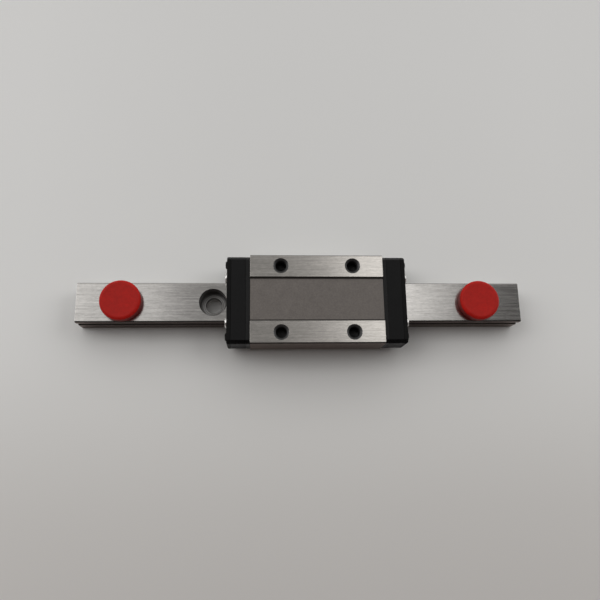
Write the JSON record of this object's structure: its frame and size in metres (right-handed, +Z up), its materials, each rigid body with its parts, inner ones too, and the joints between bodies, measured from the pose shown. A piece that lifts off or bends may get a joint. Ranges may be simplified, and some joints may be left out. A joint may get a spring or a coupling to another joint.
{
  "type": "linear guide carriage",
  "caption": "Miniature ball linear guide: a long carriage block with end caps and seals on a short profile rail, with a push-in stop plug in the screw hole at each rail end.",
  "frame": {"origin": "centre of the rail's underside", "axes": "+X along the rail, +Y across it towards the carriage's reference side, +Z up out of the mounting surface"},
  "size_m": [0.1, 0.02, 0.01],
  "materials": {
    "rail_steel": "ground along its length",
    "block_steel": "ground pads, matte centre band",
    "ball_steel": "polished bearing steel",
    "wire_steel": "drawn stainless wire",
    "screw_steel": "bright stainless",
    "cap_black": "fine moulded texture",
    "plate_black": "smooth moulded",
    "seal_black": "matte rubber",
    "guide_natural": "natural moulded acetal",
    "plug_red": "soft matte moulding"
  },
  "bodies": {
    "rail": {"rail": "rail_steel"},
    "carriage": {"carriage_block": "block_steel", "left_return_plate": "plate_black", "right_return_plate": "plate_black", "left_end_cap": "cap_black", "right_end_cap": "cap_black", "left_end_seal": "seal_black", "right_end_seal": "seal_black", "left_front_end_screw": "screw_steel", "left_rear_end_screw": "screw_steel", "right_front_end_screw": "screw_steel", "right_rear_end_screw": "screw_steel", "left_front_return_guide": "guide_natural", "left_rear_return_guide": "guide_natural", "right_front_return_guide": "guide_natural", "right_rear_return_guide": "guide_natural", "front_ball_row": "ball_steel", "rear_ball_row": "ball_steel", "front_retainer_wire": "wire_steel", "rear_retainer_wire": "wire_steel"},
    "left_plug": {"left_rail_plug": "plug_red"},
    "right_plug": {"right_rail_plug": "plug_red"}
  },
  "joints": [
    {"name": "carriage_slide", "type": "slide", "parent": "rail", "child": "carriage", "axis": [1, 0, 0], "range_m": [-0.0186, 0.0124]},
    {"name": "left_plug_pull", "type": "slide", "parent": "rail", "child": "left_plug", "axis": [0, 0, 1], "range_m": [0, 0.009]},
    {"name": "right_plug_pull", "type": "slide", "parent": "rail", "child": "right_plug", "axis": [0, 0, 1], "range_m": [0, 0.009]}
  ]
}
